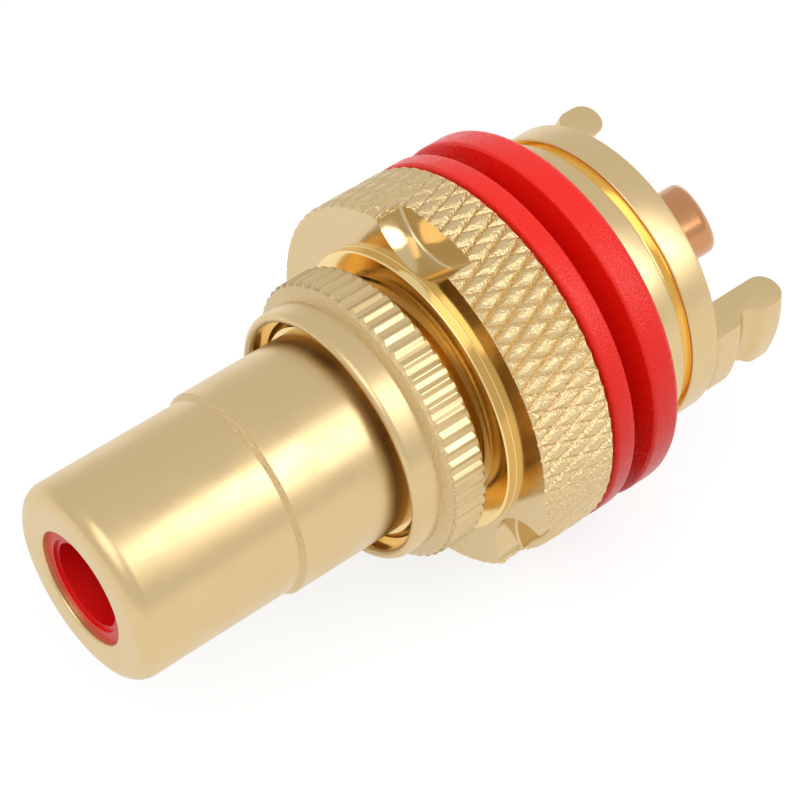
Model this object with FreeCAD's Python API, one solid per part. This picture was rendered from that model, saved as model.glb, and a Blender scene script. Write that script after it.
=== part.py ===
import FreeCAD, Part
import math
import os

# Panel-mounting phono socket, in millimetres.
# The socket's axis is Y. Plugs enter from the front, -Y, and wires leave at the back, +Y.
# The origin is on the axis, in the plane of the panel's back face: the front face of the rear washer.

# Points closer than this are one point
SAME_POINT = 1e-6

# Fits
THREAD_CLEARANCE = 0.05
SLIP_CLEARANCE = 0.10
BOSS_CLEARANCE = 0.10

# Barrel, where the plug's outer contact grips
BARREL_DIA = 8.3
BARREL_LENGTH = 7.05
BARREL_RIM_RADIUS = 0.75
MOUTH_DIA = 4.8
MOUTH_CHAMFER = 0.12
FRONT_WALL = 1.3
FRONT_TO_SEAT = 21.5
COLLAR_DIA = 8.7
COLLAR_CHAMFER = 0.2

# Mounting thread: the solids stand at the thread's mean diameter
THREAD_DIA = 10.0
THREAD_PITCH = 0.75
THREAD_DEPTH_SHARE = 0.6134
THREAD_START = 12.3
THREAD_RELIEF_LENGTH = 0.8
THREAD_RELIEF_DEPTH = 0.27

# Head behind the panel, with its cosmetic groove
HEAD_DIA = 13.1
FLANGE_THICKNESS = 1.6
GROOVE_WIDTH = 0.44
GROOVE_DEPTH = 0.6
TAIL_RING_WIDTH = 1.4
HEAD_WEB = 0.6
HEAD_EDGE = 0.12

# Ground lugs left standing on the back of the head
LUG_WIDTH = 3.25
LUG_FOOT_LENGTH = 1.6
LUG_WAIST_LENGTH = 0.55
LUG_HEAD_LENGTH = 1.8
LUG_WAIST_DEPTH = 0.45
LUG_ANGLES = (95.5, -76.0)
LUG_BLEND = 0.3
LUG_FOOT_BLEND = 0.15
LUG_END_FLAT = 0.06

# Bores of the body
MAIN_BORE_DIA = 6.4
REAR_BORE_DIA = 10.1

# Front insulator
INSULATOR_RECESS = 0.25
INSULATOR_MOUTH_CLEARANCE = 0.17
INSULATOR_MOUTH_LENGTH = 1.8
FRONT_INSULATOR_LENGTH = 11.0
LIP_STEP_WIDTH = 0.2
LIP_STEP_DEPTH = 0.12

# Centre contact
PLUG_PIN_DIA = 3.2
SOCKET_WALL = 0.55
SOCKET_DEPTH = 10.0
SOCKET_SLOTS = 4
SOCKET_SLOT_WIDTH = 0.35
SOCKET_SLOT_LENGTH = 7.5
SOCKET_FINGER_RELIEF = 0.15
CONTACT_SHOULDER_DIA = 5.4
CONTACT_SHOULDER_LENGTH = 1.5
CONTACT_SHANK_DIA = 4.4
CONTACT_SHANK_RECESS = 0.15
SOLDER_PIN_DIA = 3.2
SOLDER_PIN_STICK_OUT = 4.9
SOLDER_PIN_EDGE = 0.25
SOLDER_CUP_DIA = 1.8
SOLDER_CUP_DEPTH = 3.0
SOLDER_CUP_SLANT = 22.0
SOLDER_CUP_FACES = 36.0
DRILL_POINT_SLOPE = 31.0
CONTACT_START = 2.3

# Ring that holds the rear insulator in
RETAINING_RING_THICKNESS = 0.9
RETAINING_RING_WIDTH = 1.0
RETAINING_RING_RECESS = 0.09

# Mounting nut, and the insulating washers that are as wide as it is
NUT_DIA = 16.0
NUT_RIM_LENGTH = 3.65
NUT_RIM_CHAMFER = 0.28
NUT_BOSS_WALL = 1.33
NUT_BOSS_HEIGHT = 0.3
NUT_BOSS_EDGE = 0.12
NUT_FACE_DISH = 0.12
NUT_THREAD_CHAMFER = 0.3

# Diamond knurl round the nut: as many grooves one way as the other
NUT_KNURL_COUNT = 68
NUT_KNURL_ANGLE = 21.5
NUT_KNURL_DEPTH = 0.2

# Spanner notches, sunk into the nut's front face by an end mill
NOTCH_COUNT = 3
NOTCH_CUTTER_DIA = 4.6
NOTCH_CENTRE_OUTSIDE = 0.62
NOTCH_DEPTH = 1.2

# Insulating washers
FRONT_WASHER_THICKNESS = 0.95
REAR_WASHER_THICKNESS = 1.4
PANEL_BOSS_WALL = 0.8
PANEL_BOSS_LENGTH = 1.0
WASHER_EDGE = 0.15
REAR_WASHER_EDGE = 0.35

# Lock ring, from its thread outwards
LOCK_GAP = 0.95
LOCK_MOUTH_STEP = 0.18
LOCK_MOUTH_DEPTH = 1.2
LOCK_MOUTH_EDGE = 0.14
LOCK_NOSE_WALL = 0.4
LOCK_NOSE_LENGTH = 1.16
LOCK_NOSE_LIP = 0.28
LOCK_CONE_RISE = 0.46
LOCK_CONE_LENGTH = 0.16
LOCK_KNURL_LENGTH = 1.67
LOCK_THREAD_CHAMFER = 0.2

# Straight knurl round the lock ring: flat-bottomed flutes with narrow ridges between them
LOCK_FLUTE_COUNT = 61
LOCK_FLUTE_FLOOR = 0.34
LOCK_FLUTE_DEPTH = 0.13
LOCK_FLUTE_FLANK = 42.0
LOCK_RIDGE_RISE = 0.19

# Radii worked out once
barrel_r = BARREL_DIA / 2
collar_r = COLLAR_DIA / 2
thread_depth = THREAD_DEPTH_SHARE * THREAD_PITCH
thread_r = THREAD_DIA / 2 - thread_depth / 2
nut_bore_r = thread_r + THREAD_CLEARANCE
washer_bore_r = THREAD_DIA / 2 + SLIP_CLEARANCE
head_r = HEAD_DIA / 2
main_bore_r = MAIN_BORE_DIA / 2
rear_bore_r = REAR_BORE_DIA / 2
pin_r = SOLDER_PIN_DIA / 2
shank_r = CONTACT_SHANK_DIA / 2
shoulder_r = CONTACT_SHOULDER_DIA / 2
socket_r = PLUG_PIN_DIA / 2
socket_outer_r = socket_r + SOCKET_WALL
nut_r = NUT_DIA / 2
panel_boss_r = washer_bore_r + PANEL_BOSS_WALL
lock_mouth_r = nut_bore_r + LOCK_MOUTH_STEP
lock_nose_r = lock_mouth_r + LOCK_NOSE_WALL
lock_cone_r = lock_nose_r + LOCK_CONE_RISE
lock_ridge_r = lock_cone_r + LOCK_RIDGE_RISE

# Stations along the axis
front_y = -FRONT_TO_SEAT
collar_y = front_y + BARREL_LENGTH
thread_y = front_y + THREAD_START
head_y = REAR_WASHER_THICKNESS
flange_back_y = head_y + FLANGE_THICKNESS
groove_back_y = flange_back_y + GROOVE_WIDTH
head_back_y = groove_back_y + TAIL_RING_WIDTH
rear_bore_y = head_y + HEAD_WEB
lug_waist_y = head_back_y + LUG_FOOT_LENGTH
lug_head_y = lug_waist_y + LUG_WAIST_LENGTH
lug_back_y = lug_head_y + LUG_HEAD_LENGTH
boss_front_y = -PANEL_BOSS_LENGTH
nut_back_y = boss_front_y - FRONT_WASHER_THICKNESS
nut_face_y = nut_back_y - NUT_RIM_LENGTH
nut_front_y = nut_face_y - NUT_BOSS_HEIGHT
lock_back_y = nut_front_y - LOCK_GAP
lock_knurl_y = lock_back_y - LOCK_KNURL_LENGTH
lock_cone_y = lock_knurl_y - LOCK_CONE_LENGTH
lock_front_y = lock_cone_y - LOCK_NOSE_LENGTH
insulator_front_y = front_y + INSULATOR_RECESS
insulator_back_y = insulator_front_y + FRONT_INSULATOR_LENGTH
contact_front_y = front_y + CONTACT_START
shoulder_y = insulator_back_y
shoulder_back_y = shoulder_y + CONTACT_SHOULDER_LENGTH
pin_back_y = head_back_y + SOLDER_PIN_STICK_OUT
ring_back_y = head_back_y - RETAINING_RING_RECESS
ring_front_y = ring_back_y - RETAINING_RING_THICKNESS
shank_back_y = ring_front_y - CONTACT_SHANK_RECESS


def at(y, r):
    """A point of a turned profile: along the axis, and out from it."""
    return FreeCAD.Vector(0, y, -r)


def blended(corner, before, after):
    """Edges of one profile corner and the points where they meet its sides.

    A corner is (y, r, blend): a positive blend is a fillet radius, a negative one a chamfer's leg.
    """
    y, r, blend = corner
    point = at(y, r)
    if not blend:
        return point, point, None
    towards = (at(before[0], before[1]) - point).normalize()
    away = (at(after[0], after[1]) - point).normalize()
    if blend < 0:
        start = point + towards * -blend
        end = point + away * -blend
        return start, end, Part.LineSegment(start, end).toShape()
    half = towards.getAngle(away) / 2
    leg = blend / math.tan(half)
    start = point + towards * leg
    end = point + away * leg
    middle_line = (towards + away).normalize()
    middle = point + middle_line * (blend / math.sin(half) - blend)
    return start, end, Part.Arc(start, middle, end).toShape()


def turned(corners):
    """Solid of revolution about the Y axis from a closed profile of (y, r, blend) corners."""
    parts = []
    count = len(corners)
    for i, corner in enumerate(corners):
        parts.append(blended(corner, corners[i - 1], corners[(i + 1) % count]))
    edges = []
    for i, (start, end, edge) in enumerate(parts):
        if edge:
            edges.append(edge)
        following = parts[(i + 1) % count][0]
        if end.distanceToPoint(following) > SAME_POINT:
            edges.append(Part.LineSegment(end, following).toShape())
    face = Part.Face(Part.Wire(edges))
    return face.revolve(FreeCAD.Vector(0, 0, 0), FreeCAD.Vector(0, 1, 0), 360)


def rod(y, length, radius, angle=0.0, offset=0.0):
    """A cylinder parallel to the axis, its centre line at an angle from +Z towards +X."""
    a = math.radians(angle)
    base = FreeCAD.Vector(offset * math.sin(a), y, offset * math.cos(a))
    return Part.makeCylinder(radius, length, base, FreeCAD.Vector(0, 1, 0))


def slab(y, length, width, reach, angle):
    """A box from the axis outwards, centred on an angle from +Z towards +X."""
    box = Part.makeBox(width, length, reach, FreeCAD.Vector(-width / 2, y, 0))
    box.rotate(FreeCAD.Vector(0, 0, 0), FreeCAD.Vector(0, 1, 0), angle)
    return box


def lug(angle):
    """One ground lug: a slice of a turned skirt with a foot, a waist and a rounded head."""
    inner = rear_bore_r
    waist_r = head_r - LUG_WAIST_DEPTH
    end_radius = (head_r - inner - LUG_END_FLAT) / 2
    skirt = turned([
        (head_back_y - HEAD_EDGE, inner, 0),
        (head_back_y - HEAD_EDGE, head_r - HEAD_EDGE, 0),
        (head_back_y, head_r - HEAD_EDGE, 0),
        (head_back_y + HEAD_EDGE, head_r, LUG_FOOT_BLEND),
        (lug_waist_y - LUG_BLEND, head_r, LUG_BLEND),
        (lug_waist_y, waist_r, LUG_BLEND),
        (lug_head_y, waist_r, LUG_BLEND),
        (lug_head_y + LUG_BLEND, head_r, LUG_BLEND),
        (lug_back_y, head_r, end_radius),
        (lug_back_y, inner, end_radius),
    ])
    slice_box = slab(head_back_y - 2 * HEAD_EDGE, lug_back_y, LUG_WIDTH, 2 * head_r, angle)
    return skirt.common(slice_box)


def make_shell():
    """The one-piece body: barrel, collar, threaded tube, grooved head and ground lugs."""
    groove_r = head_r - GROOVE_DEPTH
    relief_r = thread_r - THREAD_RELIEF_DEPTH
    body = turned([
        (front_y, MOUTH_DIA / 2, -MOUTH_CHAMFER),
        (front_y, barrel_r, BARREL_RIM_RADIUS),
        (collar_y, barrel_r, 0),
        (collar_y, collar_r, -COLLAR_CHAMFER),
        (thread_y, collar_r, 0),
        (thread_y, thread_r, -COLLAR_CHAMFER),
        (head_y - THREAD_RELIEF_LENGTH, thread_r, 0),
        (head_y - THREAD_RELIEF_LENGTH, relief_r, 0),
        (head_y, relief_r, 0),
        (head_y, head_r, -HEAD_EDGE),
        (flange_back_y, head_r, -HEAD_EDGE),
        (flange_back_y, groove_r, 0),
        (groove_back_y, groove_r, 0),
        (groove_back_y, head_r, -HEAD_EDGE),
        (head_back_y, head_r, -HEAD_EDGE),
        (head_back_y, rear_bore_r, 0),
        (rear_bore_y, rear_bore_r, 0),
        (rear_bore_y, main_bore_r, 0),
        (front_y + FRONT_WALL, main_bore_r, 0),
        (front_y + FRONT_WALL, MOUTH_DIA / 2, 0),
    ])
    for angle in LUG_ANGLES:
        body = body.fuse(lug(angle))
    return body.removeSplitter()


def make_front_insulator():
    """Red sleeve behind the mouth, with a stepped lip that leads the plug's pin in."""
    nose_r = MOUTH_DIA / 2
    mouth_r = socket_r + INSULATOR_MOUTH_CLEARANCE
    lip_r = mouth_r + LIP_STEP_WIDTH
    seat_r = socket_outer_r + SLIP_CLEARANCE
    wall_y = front_y + FRONT_WALL
    cavity_y = insulator_front_y + INSULATOR_MOUTH_LENGTH
    return turned([
        (insulator_front_y, lip_r, 0),
        (insulator_front_y, nose_r, 0),
        (wall_y, nose_r, 0),
        (wall_y, main_bore_r, 0),
        (insulator_back_y, main_bore_r, 0),
        (insulator_back_y, seat_r, 0),
        (cavity_y, seat_r, 0),
        (cavity_y, mouth_r, 0),
        (insulator_front_y + LIP_STEP_DEPTH, mouth_r, 0),
        (insulator_front_y + LIP_STEP_DEPTH, lip_r, 0),
    ])


def behind_the_slant():
    """What the slanted end of the solder pin leaves out, so that its cup opens to one side."""
    size = 4 * pin_r
    block = Part.makeBox(size, size, size, FreeCAD.Vector(-size / 2, 0, -size / 2))
    block.rotate(FreeCAD.Vector(0, 0, 0), FreeCAD.Vector(1, 0, 0), SOLDER_CUP_SLANT)
    block.translate(FreeCAD.Vector(0, pin_back_y, 0))
    block.rotate(FreeCAD.Vector(0, 0, 0), FreeCAD.Vector(0, 1, 0), SOLDER_CUP_FACES)
    return block


def make_centre_contact():
    """Split socket for the plug's pin, a shoulder, a shank, and the solder pin with its slanted cup."""
    cup_r = SOLDER_CUP_DIA / 2
    socket_end_y = contact_front_y + SOCKET_DEPTH
    cup_end_y = pin_back_y - SOLDER_CUP_DEPTH
    tip_slope = math.tan(math.radians(DRILL_POINT_SLOPE))
    blank_end_y = pin_back_y + pin_r
    contact = turned([
        (contact_front_y, socket_r, -SOCKET_FINGER_RELIEF),
        (contact_front_y, socket_outer_r, -SOCKET_FINGER_RELIEF),
        (shoulder_y, socket_outer_r, 0),
        (shoulder_y, shoulder_r, 0),
        (shoulder_back_y, shoulder_r, 0),
        (shoulder_back_y, shank_r, 0),
        (shank_back_y, shank_r, 0),
        (shank_back_y, pin_r, 0),
        (blank_end_y, pin_r, 0),
        (blank_end_y, cup_r, 0),
        (cup_end_y, cup_r, 0),
        (cup_end_y - cup_r * tip_slope, 0, 0),
        (socket_end_y + socket_r * tip_slope, 0, 0),
        (socket_end_y, socket_r, 0),
    ])
    contact = contact.cut(behind_the_slant())
    end_face = max(contact.Faces, key=lambda face: face.CenterOfMass.y)
    contact = contact.makeFillet(SOLDER_PIN_EDGE, end_face.OuterWire.Edges)
    slots = []
    for i in range(SOCKET_SLOTS):
        angle = (i + 0.5) * 360.0 / SOCKET_SLOTS
        slots.append(slab(contact_front_y, SOCKET_SLOT_LENGTH, SOCKET_SLOT_WIDTH,
                          2 * socket_outer_r, angle))
    return contact.cut(slots)


def make_rear_insulator():
    """Bushing that centres the contact in the body and fills the back of the head."""
    return turned([
        (shoulder_y, shoulder_r, 0),
        (shoulder_y, main_bore_r, 0),
        (rear_bore_y, main_bore_r, 0),
        (rear_bore_y, rear_bore_r, 0),
        (ring_front_y, rear_bore_r, 0),
        (ring_front_y, shank_r, 0),
        (shoulder_back_y, shank_r, 0),
        (shoulder_back_y, shoulder_r, 0),
    ])


def make_retaining_ring():
    """Ring pressed into the head behind the rear insulator."""
    inner = rear_bore_r - RETAINING_RING_WIDTH
    return turned([
        (ring_front_y, inner, 0),
        (ring_front_y, rear_bore_r, 0),
        (ring_back_y, rear_bore_r, 0),
        (ring_back_y, inner, -HEAD_EDGE),
    ])


def make_rear_washer():
    """Insulating washer behind the panel, with the boss that centres it in the panel's hole."""
    return turned([
        (boss_front_y, washer_bore_r, 0),
        (boss_front_y, panel_boss_r, -WASHER_EDGE),
        (0, panel_boss_r, 0),
        (0, nut_r, WASHER_EDGE),
        (REAR_WASHER_THICKNESS, nut_r, REAR_WASHER_EDGE),
        (REAR_WASHER_THICKNESS, washer_bore_r, 0),
    ])


def make_front_washer():
    """Plain insulating washer under the nut."""
    return turned([
        (nut_back_y, washer_bore_r, 0),
        (nut_back_y, nut_r, -WASHER_EDGE),
        (boss_front_y, nut_r, WASHER_EDGE),
        (boss_front_y, washer_bore_r, 0),
    ])


def knurled_bar():
    """A bar with a diamond knurl: each diamond is a low pyramid between four groove crossings."""
    step = 2 * math.pi / NUT_KNURL_COUNT
    row_height = nut_r * step / 2 / math.tan(math.radians(NUT_KNURL_ANGLE))
    rows = math.ceil(NUT_RIM_LENGTH / row_height) + 1
    middle_y = (nut_face_y + nut_back_y) / 2
    start_y = middle_y - rows * row_height / 2

    def point(row, column, r):
        angle = (column + row / 2) * step
        y = start_y + row * row_height
        return FreeCAD.Vector(r * math.sin(angle), y, r * math.cos(angle))

    def crossing(row, column):
        return point(row, column, nut_r - NUT_KNURL_DEPTH)

    def triangle(a, b, c):
        return Part.Face(Part.makePolygon([a, b, c, a]))

    faces = []
    for row in range(rows + 1):
        for column in range(NUT_KNURL_COUNT):
            peak = point(row, column + 0.5, nut_r)
            left = crossing(row, column)
            right = crossing(row, column + 1)
            if row > 0:
                front = crossing(row - 1, column + 1)
                faces += [triangle(peak, left, front), triangle(peak, front, right)]
            if row < rows:
                back = crossing(row + 1, column)
                faces += [triangle(peak, right, back), triangle(peak, back, left)]
    for row in (0, rows):
        outline = []
        for column in range(NUT_KNURL_COUNT):
            outline += [crossing(row, column), point(row, column + 0.5, nut_r)]
        faces.append(Part.Face(Part.makePolygon(outline + outline[:1])))
    return Part.Solid(Part.Shell(faces))


def make_mounting_nut():
    """Round nut with a raised boss round its thread, a diamond knurl and three spanner notches."""
    nut_boss_r = nut_bore_r + NUT_BOSS_WALL
    notch_centre_r = nut_r + NOTCH_CENTRE_OUTSIDE
    blank_r = nut_r + NUT_KNURL_DEPTH
    blank_chamfer = NUT_RIM_CHAMFER + NUT_KNURL_DEPTH
    nut = turned([
        (nut_front_y, nut_bore_r, -NUT_THREAD_CHAMFER),
        (nut_front_y, nut_boss_r, NUT_BOSS_EDGE),
        (nut_face_y + NUT_FACE_DISH, nut_boss_r, 0),
        (nut_face_y, blank_r, -blank_chamfer),
        (nut_back_y, blank_r, -blank_chamfer),
        (nut_back_y, nut_bore_r, -NUT_THREAD_CHAMFER),
    ])
    notches = []
    for i in range(NOTCH_COUNT):
        angle = i * 360.0 / NOTCH_COUNT
        notches.append(rod(nut_front_y - NOTCH_DEPTH, NUT_BOSS_HEIGHT + 2 * NOTCH_DEPTH,
                           NOTCH_CUTTER_DIA / 2, angle, notch_centre_r))
    return nut.common(knurled_bar()).cut(notches)


def flute(angle):
    """Cutter for one flute of the lock ring's knurl: a flat floor and two sloping flanks."""
    floor_r = lock_ridge_r - LOCK_FLUTE_DEPTH
    reach = 2 * LOCK_FLUTE_DEPTH
    half_floor = LOCK_FLUTE_FLOOR / 2
    half_top = half_floor + reach * math.tan(math.radians(LOCK_FLUTE_FLANK))
    corners = [(-half_floor, floor_r), (half_floor, floor_r),
               (half_top, floor_r + reach), (-half_top, floor_r + reach)]
    points = [FreeCAD.Vector(x, lock_knurl_y, z) for x, z in corners]
    outline = Part.Face(Part.makePolygon(points + points[:1]))
    cutter = outline.extrude(FreeCAD.Vector(0, 2 * LOCK_KNURL_LENGTH, 0))
    cutter.rotate(FreeCAD.Vector(0, 0, 0), FreeCAD.Vector(0, 1, 0), angle)
    return cutter


def make_lock_ring():
    """Jam ring with a lipped nose, a cone up to its rim, and a straight knurl."""
    ring = turned([
        (lock_front_y, lock_mouth_r, LOCK_MOUTH_EDGE),
        (lock_front_y, lock_nose_r, LOCK_NOSE_LIP),
        (lock_cone_y, lock_nose_r, 0),
        (lock_knurl_y, lock_cone_r, 0),
        (lock_knurl_y + LOCK_RIDGE_RISE, lock_ridge_r, 0),
        (lock_back_y, lock_ridge_r, -HEAD_EDGE),
        (lock_back_y, nut_bore_r, -LOCK_THREAD_CHAMFER),
        (lock_front_y + LOCK_MOUTH_DEPTH, nut_bore_r, 0),
        (lock_front_y + LOCK_MOUTH_DEPTH, lock_mouth_r, 0),
    ])
    flutes = [flute(i * 360.0 / LOCK_FLUTE_COUNT) for i in range(LOCK_FLUTE_COUNT)]
    return ring.cut(flutes)


MAKERS = {
    "shell": make_shell,
    "front_insulator": make_front_insulator,
    "centre_contact": make_centre_contact,
    "rear_insulator": make_rear_insulator,
    "retaining_ring": make_retaining_ring,
    "rear_washer": make_rear_washer,
    "front_washer": make_front_washer,
    "mounting_nut": make_mounting_nut,
    "lock_ring": make_lock_ring,
}

os.makedirs("parts", exist_ok=True)
for name, make in MAKERS.items():
    shape = make()
    shape.exportStep("parts/" + name + ".step")
    print(name, "solids", len(shape.Solids), "volume", round(shape.Volume, 3), shape.isValid())
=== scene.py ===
# %% [markdown]
# A panel-mounting phono socket, dressed for a picture.
# The solids come from the part's own model, and this script gives them their looks.
# Everything is in metres, in the part's frame: the axis is Y, plugs enter from -Y, and wires leave at +Y.

# %% Load the frame
import math
import bmesh
import bpy
from mathutils import Matrix, Vector


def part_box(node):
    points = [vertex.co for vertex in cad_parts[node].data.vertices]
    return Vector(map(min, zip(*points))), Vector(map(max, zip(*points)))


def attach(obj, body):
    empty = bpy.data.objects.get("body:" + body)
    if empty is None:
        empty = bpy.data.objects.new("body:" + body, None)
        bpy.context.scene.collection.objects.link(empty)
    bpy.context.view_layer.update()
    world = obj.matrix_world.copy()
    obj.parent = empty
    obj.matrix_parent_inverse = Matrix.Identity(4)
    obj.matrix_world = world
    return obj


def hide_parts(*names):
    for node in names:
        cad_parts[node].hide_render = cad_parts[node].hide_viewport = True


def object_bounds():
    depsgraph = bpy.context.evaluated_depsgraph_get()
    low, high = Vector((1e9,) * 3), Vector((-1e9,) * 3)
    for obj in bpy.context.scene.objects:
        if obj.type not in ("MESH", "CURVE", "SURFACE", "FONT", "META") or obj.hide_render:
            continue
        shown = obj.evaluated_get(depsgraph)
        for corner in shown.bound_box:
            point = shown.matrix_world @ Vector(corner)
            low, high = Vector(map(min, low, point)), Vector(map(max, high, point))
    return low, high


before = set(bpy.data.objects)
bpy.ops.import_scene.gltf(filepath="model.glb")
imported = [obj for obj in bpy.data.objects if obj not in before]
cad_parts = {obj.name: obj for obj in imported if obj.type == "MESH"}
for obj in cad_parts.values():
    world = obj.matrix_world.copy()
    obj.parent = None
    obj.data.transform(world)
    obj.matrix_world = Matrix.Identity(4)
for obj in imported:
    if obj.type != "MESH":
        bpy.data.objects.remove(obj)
cad_low, cad_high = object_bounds()
bpy.ops.object.select_all(action="DESELECT")
MM = 0.001
print("nodes:", sorted(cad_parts))

# %% [markdown]
# The camera stands in front of the socket, to its right and above it, with a long lens.
# A long lens keeps the circles of the turned pieces close to true ellipses, as in a product photograph.
# Its place is written as an azimuth, an elevation and a distance, because those are what one turns by hand.

# %% Camera
CAMERA_AZIMUTH = math.radians(50.21)
CAMERA_ELEVATION = math.radians(46.94)
CAMERA_DISTANCE = 104.15 * MM
CAMERA_TARGET = Vector((0.22, -6.33, 0.0)) * MM
CAMERA_LENS = 119.66
CAMERA_NEAREST = 10 * MM
CAMERA_FARTHEST = 10.0


def towards(azimuth, elevation):
    """Unit vector from the part towards a place given by azimuth and elevation."""
    flat = math.cos(elevation)
    return Vector((math.sin(azimuth) * flat, -math.cos(azimuth) * flat, math.sin(elevation)))


camera_side = towards(CAMERA_AZIMUTH, CAMERA_ELEVATION)
camera_data = bpy.data.cameras.new("camera")
camera_data.lens = CAMERA_LENS
camera_data.clip_start = CAMERA_NEAREST
camera_data.clip_end = CAMERA_FARTHEST
camera = bpy.data.objects.new("camera", camera_data)
camera.location = CAMERA_TARGET + camera_side * CAMERA_DISTANCE
camera.rotation_mode = "QUATERNION"
camera.rotation_quaternion = (-camera_side).to_track_quat("-Z", "Y")
bpy.context.scene.collection.objects.link(camera)
bpy.context.scene.camera = camera
print("camera at", [round(x / MM, 1) for x in camera.location], "mm")

# %% [markdown]
# The part lies on a pale floor under soft studio light.
# The floor adds some light of its own where the camera or a reflection sees it.
# So it comes out white and still holds the shadow, without lighting the part more than a real floor would.

# %% Floor
FLOOR_Z = cad_low.z
FLOOR_SIZE = 20.0
FLOOR_ALBEDO = (0.26, 0.26, 0.26, 1)
FLOOR_GLOW = 0.78

bpy.ops.mesh.primitive_plane_add(size=FLOOR_SIZE, location=(0, 0, FLOOR_Z))
floor = bpy.context.active_object
floor.name = "floor"
floor_material = bpy.data.materials.new("pale_floor")
floor_material.use_nodes = True
nodes = floor_material.node_tree.nodes
links = floor_material.node_tree.links
nodes.clear()
output = nodes.new("ShaderNodeOutputMaterial")
paper = nodes.new("ShaderNodeBsdfDiffuse")
paper.inputs["Color"].default_value = FLOOR_ALBEDO
glow = nodes.new("ShaderNodeEmission")
rays = nodes.new("ShaderNodeLightPath")
seen = nodes.new("ShaderNodeMath")
seen.operation = "MAXIMUM"
links.new(rays.outputs["Is Camera Ray"], seen.inputs[0])
links.new(rays.outputs["Is Glossy Ray"], seen.inputs[1])
seen_through = nodes.new("ShaderNodeMath")
seen_through.operation = "MAXIMUM"
links.new(seen.outputs[0], seen_through.inputs[0])
links.new(rays.outputs["Is Transmission Ray"], seen_through.inputs[1])
level = nodes.new("ShaderNodeMath")
level.operation = "MULTIPLY"
level.inputs[1].default_value = FLOOR_GLOW
links.new(seen_through.outputs[0], level.inputs[0])
links.new(level.outputs[0], glow.inputs["Strength"])
both = nodes.new("ShaderNodeAddShader")
links.new(paper.outputs[0], both.inputs[0])
links.new(glow.outputs[0], both.inputs[1])
links.new(both.outputs[0], output.inputs["Surface"])
floor.data.materials.append(floor_material)
print("floor at", round(FLOOR_Z / MM, 2), "mm")

# %% [markdown]
# The world is an even, nearly white surrounding, which a polished metal needs more than it needs lamps.
# A tall softbox behind the part, to the right, draws the long highlight along every cylinder.
# A softbox's size sets how wide the highlight is, its place where it falls, and its power how bright it is.
# The wide one in front fills the shadows.

# %% Lights
WORLD_LEVEL = 0.79
SOFTBOXES = {
    "key": {"place": (126.0, 43.0), "distance": 0.30, "width": 0.10, "height": 0.22, "power": 0.21},
    "fill": {"place": (20.0, 60.0), "distance": 0.40, "width": 0.30, "height": 0.30, "power": 0.36},
}

world = bpy.data.worlds.new("studio")
world.use_nodes = True
world.node_tree.nodes["Background"].inputs["Color"].default_value = (1, 1, 1, 1)
world.node_tree.nodes["Background"].inputs["Strength"].default_value = WORLD_LEVEL
bpy.context.scene.world = world
for name, box in SOFTBOXES.items():
    azimuth, elevation = (math.radians(x) for x in box["place"])
    light_data = bpy.data.lights.new(name, "AREA")
    light_data.shape = "RECTANGLE"
    light_data.size = box["width"]
    light_data.size_y = box["height"]
    light_data.energy = box["power"]
    light = bpy.data.objects.new(name, light_data)
    direction = towards(azimuth, elevation)
    light.location = CAMERA_TARGET + direction * box["distance"]
    light.rotation_mode = "QUATERNION"
    light.rotation_quaternion = (-direction).to_track_quat("-Z", "Y")
    bpy.context.scene.collection.objects.link(light)
print("softboxes:", list(SOFTBOXES))

bpy.context.scene.view_settings.view_transform = "Standard"

# %% [markdown]
# Satin gold: brass blasted with fine beads before it is plated, so its grain scatters the light.
# A metal has no colour of its own under the shine.
# So the plate's colour goes to the base colour, and the metallic value is one.
# A fine noise lifts the surface by a micron and a half, and a coarse one makes the roughness uneven.
# Every grain here has a width and a depth, written together.

# %% Satin gold
SATIN_GOLD = (0.73, 0.548, 0.285, 1)
SATIN_ROUGHNESS = (0.27, 0.37)
SATIN_GRAIN = (0.06 * MM, 0.0015 * MM)
SATIN_PATCH = 1.5 * MM
NOISE_LOW = 0.3
NOISE_HIGH = 0.7


def start_material(name, colour, metallic):
    """A new material, with its principled shader and a texture coordinate on the object."""
    material = bpy.data.materials.new(name)
    material.use_nodes = True
    tree = material.node_tree
    shader = tree.nodes["Principled BSDF"]
    shader.inputs["Base Color"].default_value = colour
    shader.inputs["Metallic"].default_value = metallic
    place = tree.nodes.new("ShaderNodeTexCoord")
    return material, tree, shader, place.outputs["Object"]


def add_noise(tree, place, size, detail=2.0):
    """A noise texture whose grains are about that size, in metres, with that many finer levels in them."""
    noise = tree.nodes.new("ShaderNodeTexNoise")
    noise.inputs["Scale"].default_value = 1 / size
    noise.inputs["Detail"].default_value = detail
    tree.links.new(place, noise.inputs["Vector"])
    return noise.outputs["Fac"]


def add_range(tree, value, low, high):
    """Maps a noise, which mostly stays between two values around a half, to one between low and high."""
    spread = tree.nodes.new("ShaderNodeMapRange")
    spread.inputs["From Min"].default_value = NOISE_LOW
    spread.inputs["From Max"].default_value = NOISE_HIGH
    spread.inputs["To Min"].default_value = low
    spread.inputs["To Max"].default_value = high
    tree.links.new(value, spread.inputs["Value"])
    return spread.outputs["Result"]


def add_bump(tree, shader, height, depth, below=None):
    """Lifts the surface by up to that depth, in metres, on top of an earlier bump."""
    bump = tree.nodes.new("ShaderNodeBump")
    bump.inputs["Distance"].default_value = depth
    tree.links.new(height, bump.inputs["Height"])
    if below:
        tree.links.new(below, bump.inputs["Normal"])
    tree.links.new(bump.outputs["Normal"], shader.inputs["Normal"])
    return bump.outputs["Normal"]


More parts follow.
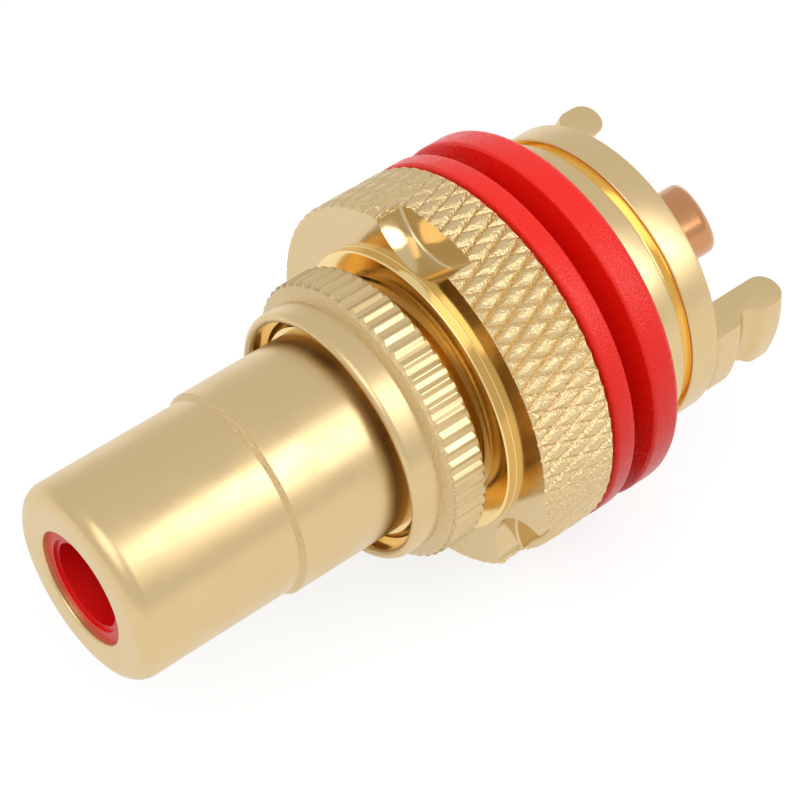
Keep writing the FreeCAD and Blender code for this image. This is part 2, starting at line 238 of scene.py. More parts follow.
satin_gold, tree, shader, place = start_material("satin_gold", SATIN_GOLD, 1.0)
grain_width, grain_depth = SATIN_GRAIN
fine = add_noise(tree, place, grain_width)
coarse = add_noise(tree, place, SATIN_PATCH)
tree.links.new(add_range(tree, coarse, *SATIN_ROUGHNESS), shader.inputs["Roughness"])
add_bump(tree, shader, fine, grain_depth)
print("made", satin_gold.name)

# %% [markdown]
# Bright gold: the nut is turned, not blasted, so its faces keep the fine rings that the lathe tool left.
# The rings are a noise over the distance from the axis, worked out from the object's own coordinates.
# Polished gold is a deeper yellow. It goes on the nut's boss, in the bores of the nut and the lock ring,
# in the groove of the head and on the thread's tube.

# %% Bright gold
BRIGHT_GOLD = (0.70, 0.53, 0.28, 1)
BRIGHT_ROUGHNESS = 0.13
POLISHED_GOLD = (0.93, 0.69, 0.31, 1)
POLISHED_ROUGHNESS = 0.16
TOOL_RING_WIDTH = 0.05 * MM
TOOL_RING_DEPTH = 0.0012 * MM


def turned_gold(name, colour, roughness):
    """Gold with the rings that a lathe tool leaves on a face."""
    material, tree, shader, place = start_material(name, colour, 1.0)
    shader.inputs["Roughness"].default_value = roughness
    flatten = tree.nodes.new("ShaderNodeVectorMath")
    flatten.operation = "MULTIPLY"
    flatten.inputs[1].default_value = (1, 0, 1)
    tree.links.new(place, flatten.inputs[0])
    radius = tree.nodes.new("ShaderNodeVectorMath")
    radius.operation = "LENGTH"
    tree.links.new(flatten.outputs[0], radius.inputs[0])
    turns = tree.nodes.new("ShaderNodeTexNoise")
    turns.noise_dimensions = "1D"
    turns.inputs["Scale"].default_value = 1 / TOOL_RING_WIDTH
    tree.links.new(radius.outputs["Value"], turns.inputs["W"])
    add_bump(tree, shader, turns.outputs["Fac"], TOOL_RING_DEPTH)
    return material


bright_gold = turned_gold("bright_gold", BRIGHT_GOLD, BRIGHT_ROUGHNESS)
polished_gold = turned_gold("polished_gold", POLISHED_GOLD, POLISHED_ROUGHNESS)
print("made", bright_gold.name, "and", polished_gold.name)

# %% [markdown]
# Crushed gold: a knurling wheel crushes the metal and doesn't cut it, so the diamonds come out wrinkled.
# The colour is the satin one again, with folds a tenth of a millimetre wide under a finer grain.
# Narrow chamfers are left just as rough by the tool, with finer folds, and glitter as thin bands.

# %% Crushed gold
KNURL_FOLDS = (0.12 * MM, 0.06 * MM)
BAND_FOLDS = (0.06 * MM, 0.06 * MM)
FOLD_DETAIL = 3.0
CRUSHED_GRAIN = (0.05 * MM, 0.001 * MM)
CRUSHED_ROUGHNESS = 0.26


def crushed_gold(name, fold_width, fold_depth):
    """Satin gold with folds of that width and depth under its grain."""
    material, tree, shader, place = start_material(name, SATIN_GOLD, 1.0)
    shader.inputs["Roughness"].default_value = CRUSHED_ROUGHNESS
    grain_width, grain_depth = CRUSHED_GRAIN
    folds = add_bump(tree, shader, add_noise(tree, place, fold_width, FOLD_DETAIL), fold_depth)
    add_bump(tree, shader, add_noise(tree, place, grain_width), grain_depth, folds)
    return material


knurled_gold = crushed_gold("knurled_gold", *KNURL_FOLDS)
grained_gold = crushed_gold("grained_gold", *BAND_FOLDS)
print("made", knurled_gold.name, "and", grained_gold.name)

# %% [markdown]
# Copper: the contact is one turned copper piece, with a thin haze that makes its shine uneven.

# %% Copper
COPPER = (0.61, 0.29, 0.13, 1)
COPPER_HAZE = 0.8 * MM
COPPER_ROUGHNESS = (0.17, 0.24)
COPPER_GRAIN = (0.05 * MM, 0.0008 * MM)

copper, tree, shader, place = start_material("copper", COPPER, 1.0)
haze = add_noise(tree, place, COPPER_HAZE)
tree.links.new(add_range(tree, haze, *COPPER_ROUGHNESS), shader.inputs["Roughness"])
grain_width, grain_depth = COPPER_GRAIN
add_bump(tree, shader, add_noise(tree, place, grain_width), grain_depth)
print("made", copper.name)

# %% [markdown]
# Red plastic: the two washers are moulded or turned with a fine grain that glitters in the highlight.
# The insulators in the bores are the same plastic, but smooth.

# %% Red plastics
WASHER_RED = (0.84, 0.013, 0.005, 1)
WASHER_SPECULAR = 0.35
WASHER_ROUGHNESS = (0.2, 0.4)
WASHER_GRAIN = (0.08 * MM, 0.02 * MM)
INSULATOR_RED = (0.80, 0.005, 0.004, 1)
INSULATOR_ROUGHNESS = 0.35
INSULATOR_GRAIN = (0.15 * MM, 0.002 * MM)

red_plastic, tree, shader, place = start_material("red_plastic", WASHER_RED, 0.0)
shader.inputs["Specular IOR Level"].default_value = WASHER_SPECULAR
grain_width, grain_depth = WASHER_GRAIN
grain = add_noise(tree, place, grain_width, 0.0)
tree.links.new(add_range(tree, grain, *WASHER_ROUGHNESS), shader.inputs["Roughness"])
add_bump(tree, shader, grain, grain_depth)

deep_red_plastic, tree, shader, place = start_material("deep_red_plastic", INSULATOR_RED, 0.0)
grain_width, grain_depth = INSULATOR_GRAIN
add_bump(tree, shader, add_noise(tree, place, grain_width), grain_depth)
shader.inputs["Roughness"].default_value = INSULATOR_ROUGHNESS
print("made", red_plastic.name, "and", deep_red_plastic.name)

# %% [markdown]
# Every metal and plastic piece here came off a lathe, so one helper does the lathe's work.
# It starts from a circle and extrudes it from station to station along the axis, scaled to each new radius.
# Its last circle is bridged to the first, which closes the piece round its bore.
# A station is a place along the axis and a radius, in millimetres.
# Where the corner is rounded off, it also says how far and, if it isn't the usual number, in how many steps.

# %% Turning
TURNED_SIDES = 256
ROUND_SEGMENTS = 5
SMOOTH_ANGLE = math.radians(32)
SAME_PLACE = 0.004 * MM
WELD_DISTANCE = 0.0005 * MM
SLACK = 0.02


def open_edit(piece):
    """Opens edit mode on one piece alone."""
    if bpy.context.mode != "OBJECT":
        bpy.ops.object.mode_set(mode="OBJECT")
    bpy.ops.object.select_all(action="DESELECT")
    piece.select_set(True)
    bpy.context.view_layer.objects.active = piece
    bpy.ops.object.mode_set(mode="EDIT")


def choose(piece, kind, wanted):
    """Selects, in edit mode, only the corners, edges or faces whose corners all pass a test."""
    bpy.ops.mesh.select_mode(type=kind)
    bpy.ops.mesh.select_all(action="DESELECT")
    mesh = bmesh.from_edit_mesh(piece.data)
    if kind == "VERT":
        for corner in mesh.verts:
            corner.select_set(wanted(corner.co))
    else:
        for part in (mesh.edges if kind == "EDGE" else mesh.faces):
            part.select_set(all(wanted(corner.co) for corner in part.verts))
    mesh.select_flush_mode()
    bmesh.update_edit_mesh(piece.data)


def out(place):
    """Distance of a place from the socket's axis."""
    return math.hypot(place.x, place.z)


def near(value, wanted):
    """Whether two lengths in metres are the same one."""
    return abs(value - wanted) < SAME_PLACE


def between(value, low, high):
    """Whether a length in metres lies between two in millimetres, give or take the slack."""
    return (low - SLACK) * MM < value < (high + SLACK) * MM


def wear(piece, finish):
    """Gives every material slot of a piece that finish."""
    if not piece.material_slots:
        piece.data.materials.append(finish)
    for slot in piece.material_slots:
        slot.material = finish


def wear_there(piece, finish, wanted):
    """Gives one more finish to the faces whose corners all pass a test."""
    piece.data.materials.append(finish)
    open_edit(piece)
    choose(piece, "FACE", wanted)
    piece.active_material_index = len(piece.data.materials) - 1
    bpy.ops.object.material_slot_assign()
    bpy.ops.object.mode_set(mode="OBJECT")
    piece.select_set(False)


def round_corners(piece, corners):
    """Bevels each ring of edges at a station, given as (along, radius, rounding, segments)."""
    for along, radius, rounding, segments in corners:
        choose(piece, "EDGE", lambda p: near(p.y, along * MM) and near(out(p), radius * MM))
        bpy.ops.mesh.bevel(offset=rounding * MM, offset_type="OFFSET", segments=segments, affect="EDGES")


def finish_mesh(piece):
    """Welds, turns the faces outwards and shades the round faces smooth."""
    open_edit(piece)
    bpy.ops.mesh.select_all(action="SELECT")
    bpy.ops.mesh.remove_doubles(threshold=WELD_DISTANCE)
    bpy.ops.mesh.normals_make_consistent(inside=False)
    bpy.ops.object.mode_set(mode="OBJECT")
    bpy.ops.object.shade_smooth_by_angle(angle=SMOOTH_ANGLE)


def turn(name, stations, around=TURNED_SIDES):
    """Turns a ring-shaped piece from its stations, in order along its section."""
    along, radius = stations[0][:2]
    bpy.ops.object.select_all(action="DESELECT")
    bpy.ops.mesh.primitive_circle_add(vertices=around, radius=radius * MM, location=(0, along * MM, 0),
                                      rotation=(math.pi / 2, 0, 0))
    piece = bpy.context.active_object
    piece.name = name
    bpy.ops.object.transform_apply(location=True, rotation=True, scale=True)
    open_edit(piece)
    bpy.ops.mesh.select_mode(type="EDGE")
    bpy.ops.mesh.select_all(action="SELECT")
    for station in stations[1:]:
        next_along, next_radius = station[:2]
        bpy.ops.mesh.extrude_region_move()
        bpy.ops.transform.translate(value=(0, (next_along - along) * MM, 0))
        scale = next_radius / radius
        bpy.ops.transform.resize(value=(scale, 1, scale), center_override=(0, next_along * MM, 0))
        along, radius = next_along, next_radius
    bpy.ops.mesh.select_all(action="DESELECT")
    bpy.ops.mesh.select_non_manifold(extend=False, use_wire=False, use_multi_face=False, use_verts=False)
    bpy.ops.mesh.bridge_edge_loops()
    rounded = [station for station in stations if len(station) > 2]
    round_corners(piece, [(*station, ROUND_SEGMENTS)[:4] for station in rounded])
    finish_mesh(piece)
    return piece


def dress(piece, body, slot, finish, *nodes):
    """Gives a piece its finish and its body, and lets it stand for the nodes it replaces."""
    wear(piece, finish)
    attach(piece, body)
    for node in nodes:
        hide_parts(node)
    piece.select_set(False)
    print(piece.name, "has", len(piece.data.polygons), "faces")


def apply_all(piece):
    """Applies a piece's modifiers, in their order."""
    bpy.ops.object.select_all(action="DESELECT")
    piece.select_set(True)
    bpy.context.view_layer.objects.active = piece
    for modifier in list(piece.modifiers):
        bpy.ops.object.modifier_apply(modifier=modifier.name)


def carve(piece, tool, operation):
    """Cuts a piece with a tool, or keeps or adds what they share, and throws the tool away."""
    modifier = piece.modifiers.new(operation.lower(), "BOOLEAN")
    modifier.operation = operation
    modifier.solver = "EXACT"
    modifier.object = tool
    apply_all(piece)
    bpy.data.objects.remove(tool)


def turned_copy(piece, angle):
    """A copy with its own mesh, turned about the socket's axis."""
    copy = piece.copy()
    copy.data = piece.data.copy()
    bpy.context.scene.collection.objects.link(copy)
    copy.data.transform(Matrix.Rotation(angle, 4, "Y"))
    return copy


print("lathe ready")

# %% [markdown]
# The washers are flat rings of red insulating plastic, one on each side of the panel.
# The rear one has a boss that centres the socket in the panel's hole.
# Their thicknesses and diameters are read from the model's own washers, and only the soft edges are new.

# %% Red washers
WASHER_BORE = 5.1
PANEL_BOSS_RADIUS = 5.9
WASHER_BEVEL = 0.15
WASHER_BACK_ROUND = 0.35


def reach(node):
    """Front, back and radius of a node, in millimetres."""
    low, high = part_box(node)
    return low.y / MM, high.y / MM, high.z / MM


washer_front, washer_back, washer_radius = reach("front_washer")
front_washer = turn("front_washer_ring", [
    (washer_front, WASHER_BORE),
    (washer_front, washer_radius, WASHER_BEVEL),
    (washer_back, washer_radius, WASHER_BEVEL),
    (washer_back, WASHER_BORE),
])
dress(front_washer, "clamp_washer", "red_plastic", red_plastic, "front_washer")

boss_front, rear_back, rear_radius = reach("rear_washer")
rear_washer = turn("rear_washer_ring", [
    (boss_front, WASHER_BORE),
    (boss_front, PANEL_BOSS_RADIUS, WASHER_BEVEL),
    (0.0, PANEL_BOSS_RADIUS),
    (0.0, rear_radius, WASHER_BEVEL),
    (rear_back, rear_radius, WASHER_BACK_ROUND),
    (rear_back, WASHER_BORE),
])
dress(rear_washer, "socket", "red_plastic", red_plastic, "rear_washer")

# %% [markdown]
# The lock ring has a straight knurl: flat flutes rolled into its rim, with narrow ridges left between them.
# Its circle has six corners to each flute, four for the floor and two for the ridge.
# After turning, the floors' corners are scaled towards the axis in one go, as the roll presses them all in.
# The mouth and the back face are polished, and the narrow lip and cone are left rough.

# %% Lock ring
LOCK_FLUTES = 61
CORNERS_PER_FLUTE = 6
FLOOR_CORNERS = 4
THREAD_BORE = 4.82
LOCK_MOUTH = 5.0
LOCK_NOSE = 5.4
LOCK_CONE = 5.86
LOCK_FLOOR = 5.92
NOSE_LENGTH = 1.16
CONE_LENGTH = 0.16
MOUTH_DEPTH = 0.8
RIDGE_RISE = 0.19
LIP_EDGE = 0.18
NOSE_ROUND = 0.26
CONE_ROUND = 0.02
LOCK_BACK_EDGE = 0.12
LOCK_THREAD_CHAMFER = 0.2
lock_ridge = LOCK_CONE + RIDGE_RISE

lock_front, lock_back = reach("lock_ring")[:2]
cone_start = lock_front + NOSE_LENGTH
knurl_start = cone_start + CONE_LENGTH
knurl_front = knurl_start + RIDGE_RISE
knurl_back = lock_back - LOCK_BACK_EDGE
lock_ring = turn("lock_ring_knurled", [
    (lock_front, LOCK_MOUTH, LIP_EDGE),
    (lock_front, LOCK_NOSE, NOSE_ROUND),
    (cone_start, LOCK_NOSE, CONE_ROUND),
    (knurl_start, LOCK_CONE),
    (knurl_start + LOCK_FLOOR - LOCK_CONE, LOCK_FLOOR),
    (knurl_front, lock_ridge),
    (knurl_back, lock_ridge),
    (lock_back, LOCK_FLOOR),
    (lock_back, THREAD_BORE + LOCK_THREAD_CHAMFER),
    (lock_back - LOCK_THREAD_CHAMFER, THREAD_BORE),
    (lock_front + MOUTH_DEPTH, THREAD_BORE),
    (lock_front + MOUTH_DEPTH, LOCK_MOUTH),
], LOCK_FLUTES * CORNERS_PER_FLUTE)


def on_a_floor(place):
    """Whether a corner stands on a flute's floor rather than on a ridge."""
    step = 2 * math.pi / (LOCK_FLUTES * CORNERS_PER_FLUTE)
    index = round(math.atan2(place.x, place.z) / step)
    return index % CORNERS_PER_FLUTE < FLOOR_CORNERS


open_edit(lock_ring)
choose(lock_ring, "VERT", lambda p: near(out(p), lock_ridge * MM) and on_a_floor(p))
shrink = LOCK_FLOOR / lock_ridge
bpy.ops.transform.resize(value=(shrink, 1, shrink), center_override=(0, 0, 0))
bpy.ops.object.mode_set(mode="OBJECT")
dress(lock_ring, "ring", "satin_gold", satin_gold, "lock_ring")
wear_there(lock_ring, polished_gold, lambda p: between(out(p), 0, LOCK_MOUTH))
wear_there(lock_ring, polished_gold, lambda p: between(p.y, lock_back, lock_back))
wear_there(lock_ring, grained_gold, lambda p: between(p.y, cone_start, knurl_front))
wear_there(lock_ring, grained_gold, lambda p: between(p.y, lock_front, lock_front + LIP_EDGE)
           and between(out(p), 0, LOCK_MOUTH + LIP_EDGE))

# %% [markdown]
# The nut's diamond knurl is made as two knurling wheels make it, one with a right twist and one a left.
# A gear is turned with one tooth to each groove, and the Simple Deform modifier twists it one way.
# A second gear is twisted the other way, and only what both gears and the turned blank share is kept.
# One wheel pressed harder on the real nut, so its grooves are deeper and run clearly through the others.
# A groove is narrow and the tooth beside it slightly crowned, which makes each diamond a small pillow.
# Each gear is also turned by a hair, because a Boolean can fail where edges lie exactly together.

# %% Mounting nut
NUT_GROOVES = 68
CORNERS_PER_GROOVE = 6
NUT_KNURL_ANGLE = math.radians(21.5)
NUT_DEEP = 0.17
NUT_SHALLOW = 0.10
NUT_CROWN_SHARE = 0.25
NUT_PHASE = math.radians(0.26)
GEAR_MARGIN = 0.2
GEAR_STEPS = 12
GEAR_CLEARANCE = 0.01
GEAR_BORE = 2.0
NUT_BOSS = 6.15
NUT_BOSS_ROUND = 0.08
NUT_BOSS_FOOT = 0.04
NUT_CHAMFER = 0.3
NUT_FACE_DISH = 0.12
NUT_FACE_CHAMFER = 0.1
NUT_RIM_CHAMFER = 0.28
BOSS_HEIGHT = 0.3

nut_front, nut_back = reach("mounting_nut")[:2]
nut_radius = washer_radius
nut_face = nut_front + BOSS_HEIGHT
mounting_nut = turn("mounting_nut_knurled", [
    (nut_front, THREAD_BORE + NUT_CHAMFER),
    (nut_front, NUT_BOSS, NUT_BOSS_ROUND),
    (nut_face + NUT_FACE_DISH, NUT_BOSS, NUT_BOSS_FOOT),
    (nut_face, nut_radius - NUT_FACE_CHAMFER),
    (nut_face + NUT_FACE_CHAMFER, nut_radius),
    (nut_back - NUT_RIM_CHAMFER, nut_radius),
    (nut_back, nut_radius - NUT_RIM_CHAMFER),
    (nut_back, THREAD_BORE + NUT_CHAMFER),
    (nut_back - NUT_CHAMFER, THREAD_BORE),
    (nut_front + NUT_CHAMFER, THREAD_BORE),
])


def knurling_gear(name, depth, twist):
    """A gear with one tooth to each groove, twisted along its length."""
    front = nut_front - GEAR_MARGIN
    back = nut_back + GEAR_MARGIN
    around = NUT_GROOVES * CORNERS_PER_GROOVE
    outer = nut_radius + GEAR_CLEARANCE
    stations = [(front + (back - front) * i / GEAR_STEPS, outer) for i in range(GEAR_STEPS + 1)]
    gear = turn(name, [(front, GEAR_BORE)] + stations + [(back, GEAR_BORE)], around)
    open_edit(gear)
    step = 2 * math.pi / around

    def press(corners, to_radius):
        """Scales in the outer corners that have one of those places between two grooves."""
        choose(gear, "VERT", lambda p: near(out(p), outer * MM)
               and round(math.atan2(p.x, p.z) / step) % CORNERS_PER_GROOVE in corners)
        scale = to_radius / outer
        bpy.ops.transform.resize(value=(scale, 1, scale), center_override=(0, 0, 0))

    press((0,), nut_radius - depth)
    press((1, CORNERS_PER_GROOVE - 1), nut_radius - NUT_CROWN_SHARE * depth)
    bpy.ops.object.mode_set(mode="OBJECT")
    turner = gear.modifiers.new("twist", "SIMPLE_DEFORM")
    turner.deform_method = "TWIST"
    turner.deform_axis = "Y"
    turner.angle = twist * (back - front) * math.tan(NUT_KNURL_ANGLE) / nut_radius
    apply_all(gear)
    gear.data.transform(Matrix.Rotation(twist * NUT_PHASE, 4, "Y"))
    return gear


carve(mounting_nut, knurling_gear("deep_wheel", NUT_DEEP, -1), "INTERSECT")
carve(mounting_nut, knurling_gear("shallow_wheel", NUT_SHALLOW, 1), "INTERSECT")
print("knurled nut:", len(mounting_nut.data.polygons), "faces")

# %% [markdown]
# Three spanner notches are sunk into the nut's face with an end mill that stands mostly outside the rim.
# Each cutter is a copy of the first, turned a third of a circle further.
# The first is turned by half a side about itself, so that none of its edges meets one of the nut's exactly.

# %% Spanner notches
NOTCHES = 3
NOTCH_RADIUS = 2.3
NOTCH_OUTSIDE = 0.62
NOTCH_DEPTH = 1.2
NOTCH_CORNER = 0.12
NOTCH_CORNER_STEPS = 3
NOTCH_SIDES = 96

notch_bottom = (nut_face + NOTCH_DEPTH) * MM
bpy.ops.object.select_all(action="DESELECT")
bpy.ops.mesh.primitive_cylinder_add(vertices=NOTCH_SIDES, radius=NOTCH_RADIUS * MM,
                                    depth=2 * NOTCH_DEPTH * MM,
                                    location=(0, nut_face * MM, (nut_radius + NOTCH_OUTSIDE) * MM),
                                    rotation=(math.pi / 2, math.pi / NOTCH_SIDES, 0))
cutter = bpy.context.active_object
bpy.ops.object.transform_apply(location=True, rotation=True, scale=True)
open_edit(cutter)
choose(cutter, "EDGE", lambda p: near(p.y, notch_bottom))
bpy.ops.mesh.bevel(offset=NOTCH_CORNER * MM, offset_type="OFFSET", segments=NOTCH_CORNER_STEPS,
                   affect="EDGES")
bpy.ops.object.mode_set(mode="OBJECT")
for i in range(NOTCHES):
    carve(mounting_nut, turned_copy(cutter, 2 * math.pi * i / NOTCHES), "DIFFERENCE")
bpy.data.objects.remove(cutter)
finish_mesh(mounting_nut)
dress(mounting_nut, "nut", "bright_gold", bright_gold, "mounting_nut")
wear_there(mounting_nut, polished_gold, lambda p: between(out(p), 0, NUT_BOSS))
wear_there(mounting_nut, knurled_gold, lambda p: between(out(p), nut_radius - NUT_RIM_CHAMFER, nut_radius)
           and between(p.y, nut_face, nut_back))

# %% [markdown]
# The shell is one turned brass piece: the barrel that the plug slides over, a collar, the threaded tube
# and the head.
# Its outline runs once round the section: out along the front, back outside, and home along the bore.
# Edges that the tool breaks are narrow roundings, and only the barrel's rim is a full one.

# %% Shell
BARREL_RADIUS = 4.15
BARREL_RIM = 0.75
BARREL_RIM_STEPS = 12
CHAMFER_STEPS = 1
MOUTH_RADIUS = 2.4
MOUTH_CHAMFER = 0.12
BARREL_LENGTH = 7.05
COLLAR_RADIUS = 4.35
COLLAR_CHAMFER = 0.2
THREAD_START = 12.3
THREAD_ROOT = 4.54
THREAD_RUNOUT = 0.8
HEAD_RADIUS = 6.55
FLANGE_BACK = 1.6
GROOVE_WIDTH = 0.44
GROOVE_RADIUS = 6.15
TAIL_WIDTH = 1.4
HEAD_EDGE = 0.1
HEAD_WEB = 0.6
REAR_BORE = 5.05
MAIN_BORE = 3.2
FRONT_WALL = 1.3

shell_front = reach("shell")[0]
head_front = rear_back
flange_back = head_front + FLANGE_BACK
groove_back = flange_back + GROOVE_WIDTH
head_back = groove_back + TAIL_WIDTH
thread_front = shell_front + THREAD_START
shell = turn("shell_turned", [
    (shell_front, MOUTH_RADIUS, MOUTH_CHAMFER),
    (shell_front, BARREL_RADIUS, BARREL_RIM, BARREL_RIM_STEPS),
    (shell_front + BARREL_LENGTH, BARREL_RADIUS),
    (shell_front + BARREL_LENGTH, COLLAR_RADIUS, COLLAR_CHAMFER, CHAMFER_STEPS),
    (thread_front, COLLAR_RADIUS),
    (thread_front, THREAD_ROOT),
    (head_front - THREAD_RUNOUT, THREAD_ROOT),
    (head_front, THREAD_ROOT),
    (head_front, HEAD_RADIUS, HEAD_EDGE),
    (flange_back, HEAD_RADIUS, HEAD_EDGE),
    (flange_back, GROOVE_RADIUS),
    (groove_back, GROOVE_RADIUS),
    (groove_back, HEAD_RADIUS, HEAD_EDGE),
    (head_back, HEAD_RADIUS, HEAD_EDGE),
    (head_back, REAR_BORE),
    (head_front + HEAD_WEB, REAR_BORE),
    (head_front + HEAD_WEB, MAIN_BORE),
    (shell_front + FRONT_WALL, MAIN_BORE),
    (shell_front + FRONT_WALL, MOUTH_RADIUS),
])

# %% [markdown]
# Two ground lugs stand on the back of the head, each with a foot, a waist for the wire and a rounded head.
# On the real piece they are what a mill leaves of a turned skirt, so a skirt is turned here too.
# A slab as wide as a lug then keeps one slice of it, and the slice's sharp edges are beveled.
# The slice is copied to each lug's angle, sunk a little into the head, and joined to the shell.

# %% Ground lugs
LUG_ANGLES = (95.5, -76.0)
LUG_WIDTH = 3.25
LUG_FOOT = 1.6
LUG_WAIST = 0.55
LUG_HEAD = 1.8
LUG_WAIST_RADIUS = 6.1
LUG_SLOPE = 0.3
LUG_ROUND = 0.24
LUG_END_ROUND = 0.7
LUG_EDGE = 0.09
LUG_EDGE_STEPS = 2
LUG_SHARP_EDGE = math.radians(60)
LUG_SUNK = 0.3

lug_start = head_back - LUG_SUNK
waist_start = head_back + LUG_FOOT
waist_end = waist_start + LUG_WAIST
lug_end = waist_end + LUG_HEAD
lug_middle = (lug_start + lug_end) / 2
lug = turn("lug", [
    (lug_start, REAR_BORE),
    (lug_start, HEAD_RADIUS - HEAD_EDGE),
    (head_back, HEAD_RADIUS - HEAD_EDGE),
    (head_back + HEAD_EDGE, HEAD_RADIUS),
    (waist_start - LUG_SLOPE, HEAD_RADIUS, LUG_ROUND),
    (waist_start, LUG_WAIST_RADIUS, LUG_ROUND),
    (waist_end, LUG_WAIST_RADIUS, LUG_ROUND),
    (waist_end + LUG_SLOPE, HEAD_RADIUS, LUG_ROUND),
    (lug_end, HEAD_RADIUS, LUG_END_ROUND),
    (lug_end, REAR_BORE, LUG_END_ROUND),
])
bpy.ops.object.select_all(action="DESELECT")
bpy.ops.mesh.primitive_cube_add(size=1, location=(0, lug_middle * MM, HEAD_RADIUS * MM),
                                scale=(LUG_WIDTH * MM, 2 * (lug_end - lug_start) * MM, HEAD_RADIUS * MM))
slab = bpy.context.active_object
bpy.ops.object.transform_apply(location=True, rotation=True, scale=True)
carve(lug, slab, "INTERSECT")
softener = lug.modifiers.new("edges", "BEVEL")
softener.limit_method = "ANGLE"
softener.angle_limit = LUG_SHARP_EDGE
softener.width = LUG_EDGE * MM
softener.segments = LUG_EDGE_STEPS
apply_all(lug)
lugs = [turned_copy(lug, math.radians(angle)) for angle in LUG_ANGLES]
bpy.data.objects.remove(lug)
bpy.ops.object.select_all(action="DESELECT")
for piece in (*lugs, shell):
    piece.select_set(True)
bpy.context.view_layer.objects.active = shell
bpy.ops.object.join()
bpy.ops.object.shade_smooth_by_angle(angle=SMOOTH_ANGLE)
dress(shell, "socket", "satin_gold", satin_gold, "shell")
wear_there(shell, polished_gold, lambda p: out(p) < (HEAD_RADIUS - HEAD_EDGE / 2) * MM
           and between(p.y, flange_back, groove_back))
collar_front = shell_front + BARREL_LENGTH
wear_there(shell, grained_gold, lambda p: between(out(p), BARREL_RADIUS, COLLAR_RADIUS)
           and between(p.y, collar_front, collar_front + COLLAR_CHAMFER))
wear_there(shell, polished_gold, lambda p: between(out(p), COLLAR_RADIUS, THREAD_ROOT)
           and between(p.y, thread_front, head_front - THREAD_RUNOUT))

# %% [markdown]
# The thread is one ridge wound round the tube, so its section is drawn once and a Screw modifier winds it.
# A plane is narrowed on its outer side to a thread's 60 degree section.
# Its face is deleted, which leaves the outline, and the wound outline is closed at its two ends.
# The ridge stops short of the nut's plain bore, so that the nut can turn over it without cutting in.

# %% Thread
THREAD_PITCH = 0.75
THREAD_TURNS = 12
THREAD_CREST = 4.81
THREAD_SINK = 0.1
CREST_WIDTH = 0.1
THREAD_STEPS = 72
THREAD_FLANK = math.radians(30)

base = THREAD_ROOT - THREAD_SINK
height = THREAD_CREST - base
base_width = CREST_WIDTH + 2 * height * math.tan(THREAD_FLANK)
bpy.ops.object.select_all(action="DESELECT")
bpy.ops.mesh.primitive_plane_add(size=height * MM, rotation=(math.pi / 2, 0, math.pi / 2))
thread = bpy.context.active_object
thread.name = "shell_thread"
bpy.ops.object.transform_apply(location=True, rotation=True, scale=True)
open_edit(thread)
bpy.ops.transform.resize(value=(1, base_width / height, 1), center_override=(0, 0, 0))
choose(thread, "VERT", lambda p: p.z > 0)
bpy.ops.transform.resize(value=(1, CREST_WIDTH / base_width, 1), center_override=(0, 0, 0))
bpy.ops.mesh.select_mode(type="FACE")
bpy.ops.mesh.select_all(action="SELECT")
bpy.ops.mesh.delete(type="ONLY_FACE")
bpy.ops.mesh.select_mode(type="VERT")
bpy.ops.mesh.select_all(action="SELECT")
bpy.ops.transform.translate(value=(0, (thread_front + base_width) * MM, (base + height / 2) * MM))
bpy.ops.object.mode_set(mode="OBJECT")
winder = thread.modifiers.new("wind", "SCREW")
winder.axis = "Y"
winder.screw_offset = THREAD_PITCH * MM
winder.iterations = THREAD_TURNS
winder.steps = THREAD_STEPS
winder.render_steps = THREAD_STEPS
apply_all(thread)
open_edit(thread)
bpy.ops.mesh.select_mode(type="EDGE")
bpy.ops.mesh.select_all(action="DESELECT")
bpy.ops.mesh.select_non_manifold(extend=False, use_wire=False, use_multi_face=False, use_verts=False)
bpy.ops.mesh.fill()
bpy.ops.object.mode_set(mode="OBJECT")
finish_mesh(thread)
dress(thread, "socket", "satin_gold", satin_gold, "shell")

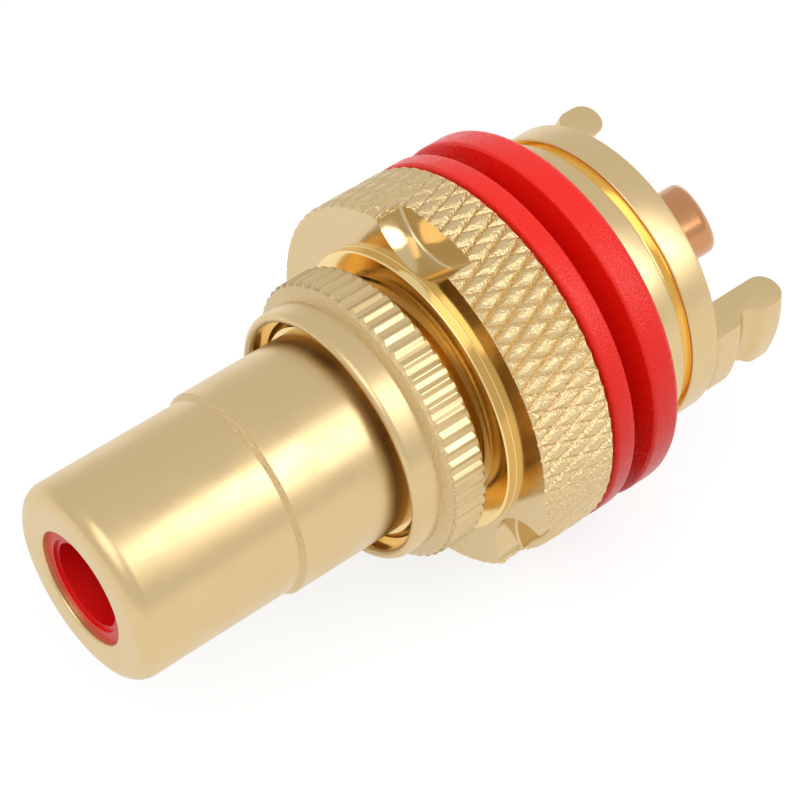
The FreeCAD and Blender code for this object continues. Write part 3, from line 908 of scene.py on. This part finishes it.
# %% [markdown]
# The solder pin ends in a slanted cup with a softly rounded outer edge.
# A tube is turned over the model's own pin and bisected by the slanted plane.
# The two cut loops are bridged, and the outer one is beveled, while the inner one stays sharp.

# %% Solder pin
PIN_RADIUS = 1.61
CUP_RADIUS = 0.88
PIN_STICK_OUT = 5.2
PIN_SLANT = math.radians(22.0)
PIN_FACES = math.radians(36.0)
PIN_EDGE = 0.42
PIN_EDGE_STEPS = 6
PIN_AROUND = 128

pin_front = reach("rear_insulator")[1]
pin_back = head_back + PIN_STICK_OUT
slant = Vector((math.sin(PIN_SLANT) * math.sin(PIN_FACES), math.cos(PIN_SLANT),
                math.sin(PIN_SLANT) * math.cos(PIN_FACES)))
slant_centre = Vector((0, pin_back * MM, 0))
pin = turn("solder_pin_end", [
    (pin_front, CUP_RADIUS),
    (pin_front, PIN_RADIUS),
    (pin_back + PIN_RADIUS, PIN_RADIUS),
    (pin_back + PIN_RADIUS, CUP_RADIUS),
], PIN_AROUND)
open_edit(pin)
bpy.ops.mesh.select_all(action="SELECT")
bpy.ops.mesh.bisect(plane_co=slant_centre, plane_no=slant, clear_outer=True)
bpy.ops.mesh.select_mode(type="EDGE")
bpy.ops.mesh.select_all(action="DESELECT")
bpy.ops.mesh.select_non_manifold(extend=False, use_wire=False, use_multi_face=False, use_verts=False)
bpy.ops.mesh.bridge_edge_loops()


def on_the_slant(place):
    """Whether a corner lies in the slanted plane."""
    return near((place - slant_centre).dot(slant), 0)


choose(pin, "EDGE", lambda p: on_the_slant(p) and near(out(p), PIN_RADIUS * MM))
bpy.ops.mesh.bevel(offset=PIN_EDGE * MM, offset_type="OFFSET", segments=PIN_EDGE_STEPS,
                   affect="EDGES")
finish_mesh(pin)
dress(pin, "socket", "copper", copper)

# %% [markdown]
# The inner pieces keep the model's own solids, whose shapes are already right, and only get their finishes.

# %% Finishes on the model's own pieces
FINISHES = {
    "retaining_ring": bright_gold,
    "centre_contact": copper,
    "front_insulator": deep_red_plastic,
    "rear_insulator": deep_red_plastic,
}

for name, finish in FINISHES.items():
    wear(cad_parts[name], finish)
print("finished", len(FINISHES), "nodes")
